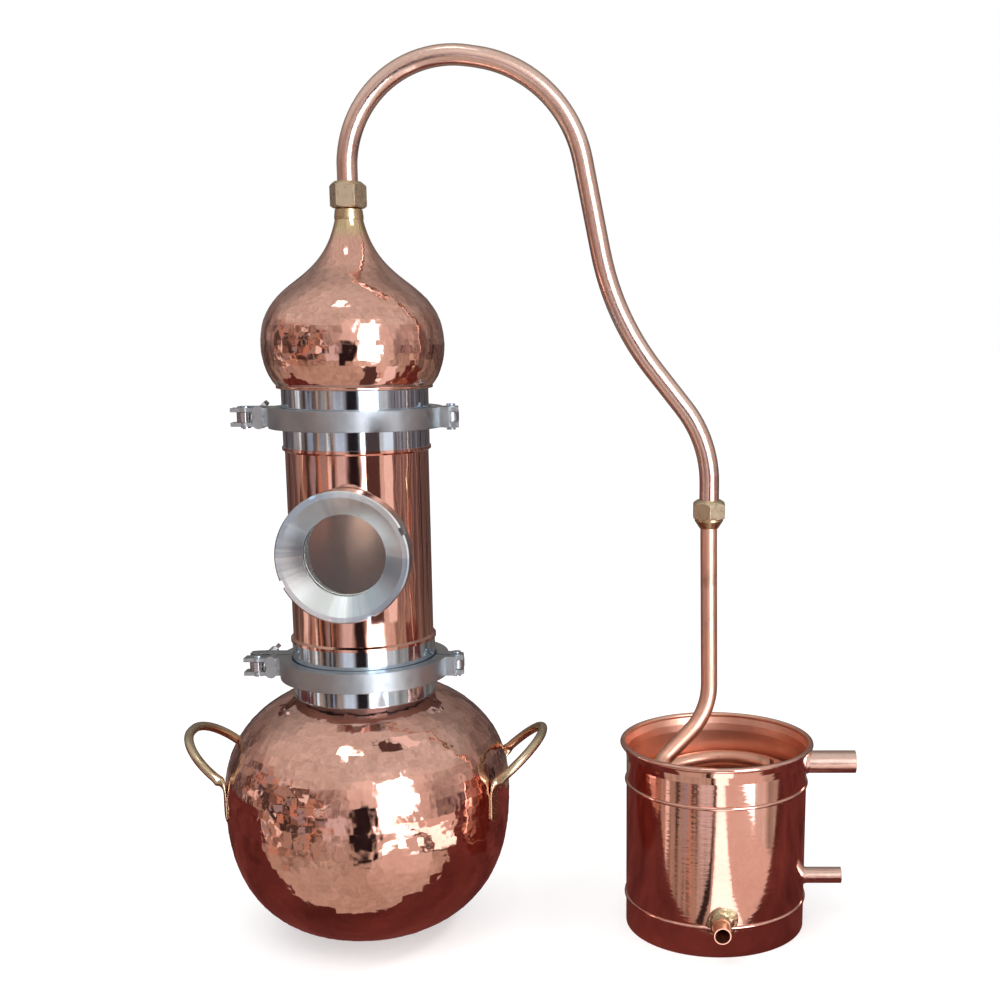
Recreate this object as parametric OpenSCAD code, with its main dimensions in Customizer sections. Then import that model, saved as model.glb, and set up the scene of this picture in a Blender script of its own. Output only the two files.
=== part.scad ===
/* [Column and ferrules] */
// Outside diameter of the column tube, a six inch tube
tube_od = 152.4; // [140:0.1:170]
// Wall of the column tube and ferrules
tube_wall = 2; // [1:0.1:4]
// Outside radius of the column between its end beads
column_r = 74.8; // [72:0.1:76.2]
// Length of one clamp ferrule
ferrule_len = 28.6; // [20:0.1:40]
// Diameter over the ferrule flange
flange_od = 167; // [155:0.1:185]
// Thickness of the flange at its edge
flange_edge = 2.9; // [2:0.1:5]
// Slope of the flange back, in degrees
flange_slope = 20; // [10:1:30]
// Thickness of the joint gasket
gasket_t = 3; // [1:0.1:5]
// Height of the middle of the lower clamp joint
lower_joint_z = 297; // [260:1:340]
// Height of the middle of the upper clamp joint
upper_joint_z = 565; // [500:1:640]

/* [Pot] */
// Largest radius of the pot
pot_r = 154.5; // [120:0.5:190]
// Height of the widest line of the pot
pot_mid_z = 157; // [120:1:190]
// Depth of the lower bowl below the widest line
pot_low_h = 160; // [120:1:200]
// Roundness of the lower bowl
pot_low_n = 2.56; // [2:0.02:3.5]
// Roundness of the shoulder
pot_up_n = 2.2; // [1.8:0.02:3]
// Radius of the pot where it meets the ferrule
pot_neck_r = 78; // [76.5:0.5:84]
// Wall of the pot
pot_wall = 2; // [1:0.1:4]

/* [Handles] */
// Diameter of the handle rod
rod_d = 10; // [6:0.5:16]
// Half width of the handle loop
handle_half = 58; // [35:1:80]
// Reach of the handle from the column axis
handle_reach = 198; // [175:1:230]
// Height of the outer end of the handle
handle_top_z = 221; // [190:1:250]
// Corner radius of the handle loop
handle_corner = 54; // [15:1:58]

/* [Sight glass] */
// Height of the middle of the sight glass
sight_z = 431; // [380:1:470]
// Outside diameter of the slotted ring nut
ring_od = 135; // [120:1:150]
// Distance of the ring front from the column axis
ring_front = 104; // [98:1:120]
// Diameter seen through the ring
sight_open_d = 84; // [60:1:95]
// Thread diameter of the sight port
port_thread_d = 116; // [105:0.5:120]
// Thickness of the glass disc
glass_t = 8; // [5:0.5:12]

/* [Head] */
// Largest radius of the head
head_r = 94.2; // [85:0.2:120]
// Height of the widest line of the head
head_mid_z = 639; // [620:1:670]
// Wall of the head
head_wall = 1.5; // [1:0.1:3]
// Height of the top of the head neck
head_top_z = 766; // [740:1:800]

/* [Swan neck and unions] */
// Outside diameter of the swan neck pipe
swan_od = 21; // [15:0.5:28]
// Wall of the pipes
pipe_wall = 1; // [0.6:0.1:2]
// Across flats of the union nuts
nut_af = 33; // [28:0.5:41]
// Radius of the union thread
union_thread_r = 13; // [11.5:0.1:15]
// Turns to undo the neck nut fully
neck_nut_turns = 10; // [4:1:12]

/* [Clamps] */
// Height of the clamp band
band_h = 21; // [16:0.5:28]
// Outside radius of the clamp band
band_r = 90.5; // [87:0.5:96]
// Gap between the two jaws
jaw_gap = 6; // [2:0.5:10]
// Distance of the hinge pin from the column axis
hinge_x = 100; // [96:1:110]
// Distance of the bolt pin from the column axis
bolt_x = 114; // [108:1:120]
// Diameter of the swing bolt
bolt_d = 9.9; // [8:0.1:12]
// Opening travel of the wing nut along the bolt
nut_travel = 24; // [10:1:30]

/* [Cooling bucket] */
// Distance of the bucket axis from the column axis
bucket_x = 385; // [360:1:420]
// Outside radius of the bucket wall
bucket_r = 99.5; // [80:0.5:130]
// Height of the middle of the rolled rim
bucket_rim_z = 208.5; // [180:0.5:260]
// Wall of the bucket
bucket_wall_t = 1.5; // [0.8:0.1:3]
// Height of the bucket floor
bucket_floor_z = 18; // [8:1:24]
// Radius of the swaged beads
bead_r = 2.2; // [1.5:0.1:4]

/* [Condenser coil] */
// Outside diameter of the coil pipe
coil_od = 18; // [12:0.5:22]
// Mean radius of the coil
coil_r = 80; // [60:1:86]
// Height of the top turn
coil_top_z = 186; // [180:1:205]
// Half turns of the coil, an odd number
coil_halves = 7; // [5:2:9]
// Height of the distillate outlet
outlet_z = 36.4; // [32:0.2:50]
// Reach of the distillate outlet in front of the bucket axis
outlet_reach = 126; // [110:1:150]

/* [Hidden] */
$fn = 96;
eps = 0.01;
tube_r = tube_od / 2;
bore_r = tube_r - tube_wall;
flange_r = flange_od / 2;
low_face = lower_joint_z - gasket_t / 2;
low_top = lower_joint_z + gasket_t / 2;
up_face = upper_joint_z - gasket_t / 2;
up_top = upper_joint_z + gasket_t / 2;
pot_top_z = low_face - ferrule_len;
tube_z0 = low_top + ferrule_len;
tube_z1 = up_face - ferrule_len;
head_z0 = up_top + ferrule_len;
column_h = tube_z1 - tube_z0;
groove_r = 79;
pot_up_h = (pot_top_z - pot_mid_z) / pow(1 - pow(pot_neck_r / pot_r, pot_up_n), 1 / pot_up_n);
swan_r = swan_od / 2;
coil_pipe_r = coil_od / 2;
copper = [0.78, 0.47, 0.38];
bright_copper = [0.84, 0.55, 0.46];
brass = [0.78, 0.66, 0.42];
steel = [0.72, 0.73, 0.74];
dark_steel = [0.55, 0.55, 0.56];
rubber = [0.9, 0.9, 0.88];
glass = [0.62, 0.72, 0.68, 0.5];

function unit(v) = v / norm(v);
function lerp3(a, b, t) = a + (b - a) * t;
function bez(a, b, c, d, t) =
    a * pow(1 - t, 3) + b * 3 * t * pow(1 - t, 2) + c * 3 * t * t * (1 - t) + d * pow(t, 3);
function side(p, i, t) =
    let (q = p[min(i + 1, len(p) - 1)] - p[max(i - 1, 0)], n = [-q.y, q.x] / norm(q)) p[i] + n * t;

// Pot radius at a height, a rounded bowl below and a shoulder above
function pot_at(z, d) = z < pot_mid_z
    ? (pot_r - d) * pow(1 - pow((pot_mid_z - z) / (pot_low_h - d), pot_low_n), 1 / pot_low_n)
    : (pot_r - d) * pow(1 - pow((z - pot_mid_z) / (pot_up_h - d), pot_up_n), 1 / pot_up_n);
pot_steps = 44;
function pot_curve(d, z0, z1) = [for (i = [0 : pot_steps])
    let (z = z0 + (z1 - z0) * (1 - cos(180 * i / pot_steps)) / 2) [pot_at(z, d), z]];

// Head outline: bulb, shoulder and throat as three smooth curves
head_steps = 12;
head_foot = [79.5, head_z0];
head_wide = [head_r, head_mid_z];
head_turn = [58, 703.5];
head_neck = [14.4, head_top_z];
head_c1 = [86, head_z0 + 8];
head_c2 = [head_r, head_mid_z - 20];
head_c3 = [head_r, head_mid_z + 30];
function head_curve() = concat(
    [for (i = [0 : head_steps - 1]) bez(head_foot, head_c1, head_c2, head_wide, i / head_steps)],
    [for (i = [0 : head_steps - 1]) bez(head_wide, head_c3, [82, 685.5], head_turn, i / head_steps)],
    [for (i = [0 : head_steps]) bez(head_turn, [38, 718.5], [22, 733], head_neck, i / head_steps)]);

// Swan neck route in the plane through both axes
swan_z0 = 791.5;
swan_pts = [
    [0, 0, swan_z0],
    [0, 0, 823.1],
    [12.2, 0, 941],
    [223.1, 0, 912.2],
    [271.5, 0, 666.9],
    [373.5, 0, 539],
    [373.5, 0, 467.5]
];
swan_bends = [60, 110.6, 124.8, 279.5, 128];
inlet_x = 373.5;

// Coil route: inlet, helix start and outlet
coil_start_a = 232;
coil_drop = (coil_top_z - outlet_z) / coil_halves;
coil_start = [coil_r * cos(coil_start_a), coil_r * sin(coil_start_a), coil_top_z];
coil_dir = [-sin(coil_start_a), cos(coil_start_a), 0];
coil_end_a = coil_start_a + 180 * coil_halves;
coil_turn_r = 25;
coil_last_r = coil_r - coil_turn_r;
outlet_full = 25;
outlet_sleeve_r = coil_pipe_r + 0.6;
inlet_pts = [
    [inlet_x - bucket_x, 0, 450],
    [inlet_x - bucket_x, 0, 438],
    [inlet_x - bucket_x + 3, 0, 242],
    coil_start - coil_dir * 32,
    coil_start
];
inlet_bends = [200, 60, 20];

// A round bar or pipe along a straight piece
module stick(a, b, ro, ri) {
    w = unit(b - a);
    s = abs(w.z) < 0.9 ? [0, 0, 1] : [1, 0, 0];
    u = unit(cross(s, w));
    v = cross(w, u);
    multmatrix([[u.x, v.x, w.x, a.x], [u.y, v.y, w.y, a.y], [u.z, v.z, w.z, a.z], [0, 0, 0, 1]])
        difference() {
            cylinder(r = ro, h = norm(b - a));
            if (ri > 0) translate([0, 0, -1]) cylinder(r = ri, h = norm(b - a) + 2);
        }
}

// An arc of bar or pipe that starts at p, heads along d and turns round c
module bend(c, p, d, angle, ro, ri) {
    r = norm(p - c);
    u = unit(p - c);
    w = cross(u, d);
    multmatrix([[u.x, d.x, w.x, c.x], [u.y, d.y, w.y, c.y], [u.z, d.z, w.z, c.z], [0, 0, 0, 1]])
        rotate_extrude(angle = angle)
            translate([r, 0])
                difference() {
                    circle(r = ro);
                    if (ri > 0) circle(r = ri);
                }
}

function corner_angle(p, i) = acos(unit(p[i - 1] - p[i]) * unit(p[i + 1] - p[i]));
function corner_cut(p, i, r) = r / tan(corner_angle(p, i) / 2);
function leg_start(p, b, i) =
    i == 0 ? p[0] : p[i] + unit(p[i + 1] - p[i]) * corner_cut(p, i, b[i - 1]);
function leg_end(p, b, i) =
    i == len(p) - 2 ? p[i + 1] : p[i + 1] + unit(p[i] - p[i + 1]) * corner_cut(p, i + 1, b[i]);

// A bar or pipe through points with a bend radius at each corner.
// Each straight reaches a little into the bends, which are a hair fuller
lap = 0.3;
full = 0.05;
module run(p, b, ro, ri, open_end = true) {
    n = len(p) - 2;
    for (i = [0 : n]) {
        d = unit(p[i + 1] - p[i]) * lap;
        q = leg_start(p, b, i) - (i == 0 ? 0 : 1) * d;
        r = leg_end(p, b, i) + (i == n && open_end ? 0 : 1) * d;
        stick(q, r, ro, ri);
    }
    for (i = [1 : n]) {
        u = unit(p[i - 1] - p[i]);
        w = unit(p[i + 1] - p[i]);
        a = corner_angle(p, i);
        c = p[i] + unit(u + w) * b[i - 1] / sin(a / 2);
        bend(c, p[i] + u * corner_cut(p, i, b[i - 1]), -u, 180 - a, ro + full, ri > 0 ? ri - full : 0);
    }
}
// A bend that reaches a little past both ends into its fuller neighbours
module bend_in(c, p, d, angle, ro, ri) {
    k = lap / norm(p - c) * 180 / PI;
    q = c + (p - c) * cos(k) - d * norm(p - c) * sin(k);
    bend(c, q, unit(d * cos(k) + unit(p - c) * sin(k)), angle + 2 * k, ro, ri);
}

// Clamp ferrule: tube end, flange with sloped back, groove for the gasket bead
module ferrule_up(z) {
    slope_h = (flange_r - tube_r) * tan(flange_slope);
    translate([0, 0, z])
        rotate_extrude()
            polygon([
                [bore_r, 0],
                [tube_r, 0],
                [tube_r, ferrule_len - flange_edge - slope_h],
                [flange_r, ferrule_len - flange_edge],
                [flange_r, ferrule_len],
                [groove_r + 1.6, ferrule_len],
                [groove_r + 0.9, ferrule_len - 1.3],
                [groove_r - 0.9, ferrule_len - 1.3],
                [groove_r - 1.6, ferrule_len],
                [bore_r, ferrule_len]
            ]);
}
module ferrule_down(z) translate([0, 0, z]) mirror([0, 0, 1]) ferrule_up(0);

module joint_gasket(z) {
    translate([0, 0, z])
        rotate_extrude()
            polygon([
                [bore_r, 0],
                [groove_r - 1.5, 0],
                [groove_r - 0.8, -1.2],
                [groove_r + 0.8, -1.2],
                [groove_r + 1.5, 0],
                [flange_r - 0.3, 0],
                [flange_r - 0.3, gasket_t],
                [groove_r + 1.5, gasket_t],
                [groove_r + 0.8, gasket_t + 1.2],
                [groove_r - 0.8, gasket_t + 1.2],
                [groove_r - 1.5, gasket_t],
                [bore_r, gasket_t]
            ]);
}

module pot_solid() rotate_extrude() polygon(concat([[0, 0]], pot_curve(0, 0, pot_top_z), [[0, pot_top_z]]));

module pot() color(copper) difference() {
    pot_solid();
    rotate_extrude() polygon(concat([[0, pot_wall]],
        pot_curve(pot_wall, pot_wall, pot_top_z - 3), [[0, pot_top_z - 3]]));
    translate([0, 0, pot_mid_z]) cylinder(r = bore_r, h = 300);
}

module pot_ferrule() color(steel) ferrule_up(pot_top_z);
module lower_gasket() color(rubber) joint_gasket(low_face);
module column_lower_ferrule() color(steel) ferrule_down(tube_z0);
module column_upper_ferrule() color(steel) ferrule_up(tube_z1);
module upper_gasket() color(rubber) joint_gasket(up_face);
module head_ferrule() color(steel) ferrule_down(head_z0);

module handle_shape() {
    path = [
        [130, -handle_half, handle_top_z - 56],
        [handle_reach - rod_d / 2, -handle_half, handle_top_z],
        [handle_reach - rod_d / 2, handle_half, handle_top_z],
        [130, handle_half, handle_top_z - 56]
    ];
    foot_a = asin(handle_half / pot_r);
    difference() {
        union() {
            run(path, [handle_corner, handle_corner], rod_d / 2, 0);
            for (s = [-1, 1])
                rotate([0, 0, s * foot_a])
                    translate([pot_r - 8, -8, pot_mid_z - 20])
                        cube([12, 16, 40]);
        }
        cylinder(r = pot_r, h = 400);
    }
}
module handle_right() color(brass) handle_shape();
module handle_left() color(brass) mirror([1, 0, 0]) handle_shape();

// Column tube with a flared bead at each end and a hole for the sight port
bead_h = 5;
module column_tube() color(bright_copper) difference() {
    translate([0, 0, tube_z0])
        rotate_extrude()
            polygon([
                [bore_r, 0],
                [tube_r + 1.4, 0],
                [tube_r + 1.4, bead_h - 2],
                [column_r, bead_h],
                [column_r, column_h - bead_h],
                [tube_r + 1.4, column_h - bead_h + 2],
                [tube_r + 1.4, column_h],
                [bore_r, column_h],
                [column_r - tube_wall, column_h - bead_h],
                [column_r - tube_wall, bead_h]
            ]);
    translate([0, 0, sight_z]) rotate([90, 0, 0]) cylinder(r = port_thread_d / 2, h = 150);
}

// Sight port, all turned round an axis that points to the front
port_face = 92;
glass_front = 86;
glass_back = glass_front - glass_t;
seat_back = glass_back - 2;
port_in_r = sight_open_d / 2;
pocket_r = 50.5;
module to_front() translate([0, 0, sight_z]) rotate([90, 0, 0]) children();
module ring_of(ro, ri, y0, y1) to_front() translate([0, 0, y0]) difference() {
    cylinder(r = ro, h = y1 - y0);
    translate([0, 0, -1]) cylinder(r = ri, h = y1 - y0 + 2);
}

module sight_port() color(steel) difference() {
    ring_of(port_thread_d / 2, port_in_r, 30, port_face);
    to_front() translate([0, 0, seat_back]) cylinder(r = pocket_r, h = 40);
    translate([0, 0, sight_z - 80]) cylinder(r = column_r - tube_wall, h = 160);
}
module sight_rear_seal() color(rubber) ring_of(pocket_r - 0.2, port_in_r + 0.5, seat_back, glass_back);
module sight_glass() color(glass) to_front()
    translate([0, 0, glass_back]) cylinder(r = pocket_r - 0.3, h = glass_t);
module sight_front_seal() color(rubber)
    ring_of(pocket_r - 0.4, port_in_r + 0.3, glass_front + 0.02, glass_front + 2);

module sight_ring_nut() color(steel) difference() {
    to_front() rotate_extrude() polygon([
        [port_thread_d / 2 + 0.05, port_face - 14],
        [ring_od / 2 - 1.5, port_face - 14],
        [ring_od / 2, port_face - 12.5],
        [ring_od / 2, ring_front - 1.5],
        [ring_od / 2 - 1.5, ring_front],
        [61, ring_front],
        [port_in_r, glass_front + 3.5],
        [port_in_r, glass_front + 2.05],
        [pocket_r - 0.4, glass_front + 2.05],
        [pocket_r - 0.4, port_face + 0.2],
        [port_thread_d / 2 + 0.05, port_face + 0.2]
    ]);
    for (a = [24 : 90 : 294])
        to_front() rotate([0, 0, a]) translate([ring_od / 2 - 3, -4, ring_front - 12]) cube([10, 8, 20]);
}

module head() color(copper) rotate_extrude() polygon(concat(
    [[bore_r, head_z0]],
    head_curve(),
    [[8.5, head_top_z], [8.5, head_top_z - 2]],
    [for (i = [len(head_curve()) - 1 : -1 : 1])
        let (q = side(head_curve(), i, head_wall)) [q.x, min(q.y, head_top_z - 2)]],
    [[78, head_z0 + 2], [bore_r, head_z0 + 2]]));

// Union: seat on the nipple, fibre ring, collar on the pipe, slip ring, nut over all
module head_nipple() color(brass) rotate_extrude() polygon([
    [8.5, head_top_z],
    [14.9, head_top_z],
    [14.9, head_top_z + 3],
    [14, head_top_z + 10],
    [union_thread_r, head_top_z + 10],
    [union_thread_r, head_top_z + 24],
    [8.5, head_top_z + 24]
]);
module flat_ring(z, ro, ri, h) translate([0, 0, z]) difference() {
    cylinder(r = ro, h = h);
    translate([0, 0, -1]) cylinder(r = ri, h = h + 2);
}
module neck_seal() color(rubber) flat_ring(head_top_z + 24, 12.7, 9, 1.5);
module neck_slip_ring() color(brass) flat_ring(795.6, 12.6, swan_r + 0.05, 1.2);
module union_nut(z, h, top) difference() {
    intersection() {
        translate([0, 0, z]) cylinder(r = nut_af / 2 / cos(30), h = h, $fn = 6);
        translate([0, 0, z]) rotate_extrude() polygon([
            [0, 0],
            [nut_af / 2 - 0.5, 0],
            [nut_af / 2 / cos(30) + 0.1, 2.2],
            [nut_af / 2 / cos(30) + 0.1, h - 5],
            [nut_af / 2 - 1.5, h - 1.2],
            [swan_r + 2.5, h],
            [0, h]
        ]);
    }
    translate([0, 0, z - 1]) cylinder(r = union_thread_r + 0.05, h = top - z + 1);
    translate([0, 0, z]) cylinder(r = swan_r + 0.4, h = h + 1);
}
module neck_nut() color(brass) union_nut(777.3, 26.4, 796.9);

module swan_neck() color(bright_copper) {
    run(swan_pts, swan_bends, swan_r, swan_r - pipe_wall);
}
module swan_collars() color(brass) {
    flat_ring(swan_z0, 12.7, swan_r, 4);
    translate([inlet_x, 0, 0]) flat_ring(467.5, 12.7, swan_r, 3);
}

module condenser_nut() color(brass)
    translate([inlet_x, 0, 0]) rotate([0, 0, 30]) union_nut(456.3, 20.2, 471.7);
module condenser_slip_ring() color(brass)
    translate([inlet_x, 0, 0]) flat_ring(470.6, 12.6, swan_r + 0.05, 1);
module condenser_seal() color(rubber) translate([inlet_x, 0, 0]) flat_ring(466, 12.7, 8.2, 1.5);
module coil_nipple() color(brass) translate([inlet_x, 0, 0]) rotate_extrude() polygon([
    [coil_pipe_r, 446],
    [coil_pipe_r + 1, 446],
    [15.2, 454],
    [15.2, 456.2],
    [union_thread_r, 456.2],
    [union_thread_r, 466],
    [8, 466],
    [8, 450],
    [coil_pipe_r, 450]
]);

module coil() color(bright_copper) translate([bucket_x, 0, 0]) {
    ri = coil_pipe_r - pipe_wall;
    run(inlet_pts, inlet_bends, coil_pipe_r, ri, false);
    for (i = [0 : coil_halves - 1]) {
        a = coil_start_a + 180 * i;
        z = coil_top_z - coil_drop * i;
        c = [0, 0, z - coil_drop / 2];
        p = [coil_r * cos(a), coil_r * sin(a), z];
        d = [-sin(a), cos(a), 0];
        if (i % 2 == 0) bend(c, p, d, 180, coil_pipe_r + full, ri - full);
        else bend_in(c, p, d, 180, coil_pipe_r, ri);
    }
    last = [coil_r * cos(coil_end_a), coil_r * sin(coil_end_a), outlet_z];
    bend_in([0, 0, outlet_z], last, [-sin(coil_end_a), cos(coil_end_a), 0],
        180 - coil_end_a % 360, coil_pipe_r, ri);
    bend([-coil_turn_r, 0, outlet_z], [-coil_r, 0, outlet_z], [0, -1, 0], 90,
        coil_pipe_r + full, ri - full);
    bend_in([-coil_turn_r, -coil_r, outlet_z], [-coil_turn_r, -coil_last_r, outlet_z], [1, 0, 0], 90,
        coil_pipe_r, ri);
    // outlet straight with a thicker sleeve up to the wall
    translate([0, -coil_r, outlet_z])
        rotate([90, 0, 0])
            rotate_extrude()
                polygon([
                    [ri - full, 0],
                    [outlet_sleeve_r, 0],
                    [outlet_sleeve_r, outlet_full],
                    [coil_pipe_r, outlet_full],
                    [coil_pipe_r, outlet_reach - coil_r],
                    [ri - full, outlet_reach - coil_r]
                ]);
}

module coil_support_strips() color(bright_copper) translate([bucket_x, 0, 0])
    for (a = [20, 140, 300])
        rotate([0, 0, a])
            translate([coil_r - coil_pipe_r - 2.6, -5, bucket_floor_z + 1.5])
                cube([2, 10, 160]);

// Bucket wall with a rolled rim, two swaged beads and holes for the pipes
overflow_z = 184.6;
overflow_r = 12.5;
overflow_x = 539;
water_in_z = 51.3;
water_in_r = 9;
water_in_x = 527;
collar = 3;
module bucket_outer() rotate_extrude() polygon([
    [bucket_r - bucket_wall_t, 0],
    [bucket_r, 0],
    [bucket_r, bucket_rim_z - 17],
    [bucket_r + 1, bucket_rim_z - 9],
    [bucket_r + 3.4, bucket_rim_z - 1.5],
    [bucket_r + 2.6, bucket_rim_z + 1],
    [bucket_r - 0.4, bucket_rim_z - 9],
    [bucket_r - bucket_wall_t, bucket_rim_z - 17]
]);
module bucket_wall() color(bright_copper) translate([bucket_x, 0, 0]) difference() {
    union() {
        bucket_outer();
        rotate_extrude() translate([bucket_r + 3.9, bucket_rim_z]) circle(r = 3);
        for (z = [33, 165.5])
            rotate_extrude() translate([bucket_r - 0.3, z]) intersection() {
                circle(r = bead_r);
                translate([-0.8, -4]) square([8, 8]);
            }
    }
    translate([0, 0, overflow_z]) rotate([0, 90, 0]) cylinder(r = overflow_r, h = 150);
    translate([0, 0, water_in_z]) rotate([0, 90, 0]) cylinder(r = water_in_r, h = 150);
    translate([0, 0, outlet_z]) rotate([90, 0, 0]) cylinder(r = coil_pipe_r + 2.5, h = 150);
}
module bucket_floor() color(bright_copper) translate([bucket_x, 0, bucket_floor_z])
    cylinder(r = bucket_r - bucket_wall_t, h = 1.5);

module bucket_outside() rotate_extrude() polygon([
    [0, -1],
    [bucket_r, -1],
    [bucket_r, bucket_rim_z - 17],
    [bucket_r + 1, bucket_rim_z - 9],
    [bucket_r + 3.4, bucket_rim_z - 1.5],
    [0, bucket_rim_z - 1.5]
]);
module side_pipe(z, r, x1, t) translate([bucket_x, 0, z]) difference() {
    union() {
        rotate([0, 90, 0]) cylinder(r = r, h = x1 - bucket_x);
        translate([bucket_r - 4, 0, 0]) rotate([0, 90, 0]) cylinder(r1 = r + collar, r2 = r, h = 7);
    }
    rotate([0, 90, 0]) cylinder(r = r - t, h = 200);
    difference() {
        translate([0, 0, -z]) bucket_outside();
        rotate([0, 90, 0]) cylinder(r = r, h = 200);
    }
    translate([0, 0, -40]) cylinder(r = bucket_r - bucket_wall_t, h = 80);
}
module overflow_pipe() color(bright_copper) side_pipe(overflow_z, overflow_r, overflow_x, pipe_wall);
module water_inlet() color(bright_copper) side_pipe(water_in_z, water_in_r, water_in_x, pipe_wall);
module outlet_bush() color(brass) translate([bucket_x, 0, outlet_z]) rotate([90, 0, 0]) difference() {
    union() {
        translate([0, 0, bucket_r - 6]) cylinder(r = coil_pipe_r + 2.5, h = 9);
        translate([0, 0, bucket_r]) cylinder(r1 = coil_pipe_r + 2.5, r2 = coil_pipe_r + 1, h = 5);
    }
    cylinder(r = outlet_sleeve_r, h = 150);
}

// Clamp: outer band and lugs, then the flange room, slots and pin holes are cut away
pin_y = 10;
seat_y = 17;
fork_half = 5.4;
eye_half = 5.1;
pin_r = 4;
hinge_pin_r = 3.5;
knuckle_r = 8;
lip_r = tube_r + 1.6;
groove_gap = 0.35;
module flange_room() {
    s = tan(flange_slope);
    ro = flange_r + 0.6;
    h0 = gasket_t / 2 + flange_edge + groove_gap;
    rotate_extrude() polygon([
        [0, -40],
        [lip_r, -40],
        [lip_r, -h0 - (flange_r - lip_r) * s],
        [ro, -h0 + 0.6 * s],
        [ro, h0 - 0.6 * s],
        [lip_r, h0 + (flange_r - lip_r) * s],
        [lip_r, 40],
        [0, 40]
    ]);
}
module half_band(s) difference() {
    rotate_extrude() translate([lip_r - 2, -band_h / 2]) square([band_r - lip_r + 2, band_h]);
    translate([-150, s < 0 ? -jaw_gap / 2 : jaw_gap / 2 - 150, -20]) cube([300, 150, 40]);
}
module upright(x, y, r, z0, z1) translate([x, y, z0]) cylinder(r = r, h = z1 - z0);
module block(x0, x1, y0, y1, z0, z1) translate([x0, y0, z0]) cube([x1 - x0, y1 - y0, z1 - z0]);

module front_jaw_shape() difference() {
    union() {
        half_band(-1);
        // bolt fork
        block(-bolt_x - 14, -84, -18, -jaw_gap / 2, -9.6, 9.6);
        upright(-bolt_x, -pin_y, 8.5, -9.6, 9.6);
        // lump beside the fork
        for (z = [-5.5, 5.5])
            translate([-98.5, -jaw_gap / 2, z]) rotate([90, 0, 0]) cylinder(r = 6.5, h = 17);
        // hinge arm and knuckles
        block(78, hinge_x, -14, -jaw_gap / 2, -band_h / 2, band_h / 2);
        block(hinge_x - 8, hinge_x + knuckle_r, -8, 0, -band_h / 2, band_h / 2);
        upright(hinge_x, 0, knuckle_r, -band_h / 2 - 0.8, band_h / 2 + 0.8);
    }
    flange_room();
    block(-bolt_x - 30, -bolt_x + 9.6, -40, 40, -fork_half, fork_half);
    upright(-bolt_x, -pin_y, pin_r, -30, 30);
    upright(hinge_x, 0, knuckle_r + 0.6, -fork_half, fork_half);
    block(hinge_x - knuckle_r - 0.6, hinge_x + 30, -9, 40, -fork_half, fork_half);
    upright(hinge_x, 0, hinge_pin_r + 0.05, -30, 30);
}
module rear_jaw_shape() difference() {
    union() {
        half_band(1);
        block(-bolt_x, -84, jaw_gap / 2, seat_y, -10.4, 10.4);
        intersection() {
            block(-bolt_x - 12, -bolt_x, jaw_gap / 2, seat_y, -10.4, 10.4);
            upright(-bolt_x, -pin_y, seat_y + pin_y - 0.2, -20, 20);
        }
        block(78, hinge_x, jaw_gap / 2, 14, -band_h / 2, band_h / 2);
        upright(hinge_x, 0, knuckle_r - 0.5, -eye_half, eye_half);
        block(hinge_x - 4, hinge_x + knuckle_r - 0.5, 0, 9, -eye_half, eye_half);
    }
    flange_room();
    block(-bolt_x - 40, -bolt_x + 6.2, -1, 40, -6, 6);
    for (z = [eye_half, -eye_half - 20]) {
        upright(hinge_x, 0, knuckle_r + 0.7, z, z + 20);
        block(hinge_x - knuckle_r - 0.7, hinge_x + 30, -20, 0.4, z, z + 20);
        block(hinge_x, hinge_x + 30, -20, 40, z, z + 20);
    }
    upright(hinge_x, 0, hinge_pin_r, -30, 30);
}
module hinge_pin_shape() {
    upright(hinge_x, 0, hinge_pin_r, -12.2, 12.2);
    upright(hinge_x, 0, hinge_pin_r + 1.2, 12.2, 13.6);
    upright(hinge_x, 0, hinge_pin_r + 1.2, -13.6, -12.2);
}
module bolt_pin_shape() {
    upright(-bolt_x, -pin_y, pin_r, -9.6, 9.6);
    upright(-bolt_x, -pin_y, pin_r + 1.2, 9.6, 11.4);
    upright(-bolt_x, -pin_y, pin_r + 1.2, -11.4, -9.6);
}
module along_bolt(y) translate([-bolt_x, y, 0]) rotate([-90, 0, 0]) children();
module swing_bolt_shape() difference() {
    union() {
        upright(-bolt_x, -pin_y, 9, -eye_half, eye_half);
        along_bolt(-pin_y) cylinder(r = bolt_d / 2, h = pin_y + 36 + nut_travel);
    }
    upright(-bolt_x, -pin_y, pin_r + 0.05, -30, 30);
}
washer_t = 2;
module washer_shape() along_bolt(seat_y + 0.05) difference() {
    cylinder(r = 9.5, h = washer_t);
    translate([0, 0, -1]) cylinder(r = bolt_d / 2 + 0.05, h = 10);
}
// Wing nut: hub with two leaned ears
module wing_nut_shape() along_bolt(seat_y + 0.1 + washer_t) difference() {
    union() {
        cylinder(r1 = 9, r2 = 7.4, h = 12);
        for (a = [-45, 135])
            rotate([0, 0, a])
                rotate([90, 0, 0])
                    translate([0, 0, -2.2])
                        linear_extrude(height = 4.4)
                            polygon([[0, 1], [9, 1], [17.5, 4], [20, 7], [19.5, 12.5], [16.5, 15],
                                [12, 14], [7, 10.5], [0, 10]]);
    }
    translate([0, 0, -1]) cylinder(r = bolt_d / 2 + 0.05, h = 30);
}
module at_lower() translate([0, 0, lower_joint_z]) children();
module at_upper() translate([0, 0, upper_joint_z]) children();

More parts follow.
